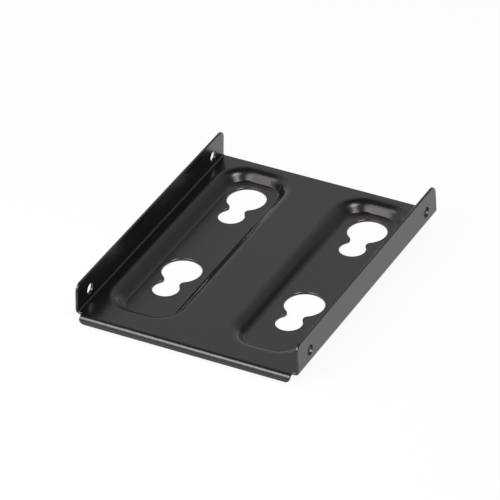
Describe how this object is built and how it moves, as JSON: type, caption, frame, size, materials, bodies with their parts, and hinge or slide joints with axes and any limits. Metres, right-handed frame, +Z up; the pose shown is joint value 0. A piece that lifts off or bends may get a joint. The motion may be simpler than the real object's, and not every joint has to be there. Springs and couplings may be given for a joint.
{
  "type": "drive bay adapter bracket",
  "caption": "Folded sheet-steel tray that holds a small drive between screw flanges, with pressed pockets and keyholes that hook over posts in a case.",
  "frame": {"origin": "under the middle of the bracket, on the plane that the pressed pockets stand on", "axes": "+X across the bay, +Y from the folded lip to the far edge, +Z up, the way the flanges stand"},
  "size_m": [0.0726, 0.093, 0.0131],
  "materials": {
    "powder_coat": "black satin powder coat, nearly smooth"
  },
  "bodies": {
    "root": {"drive_bracket": "powder_coat"}
  },
  "joints": []
}
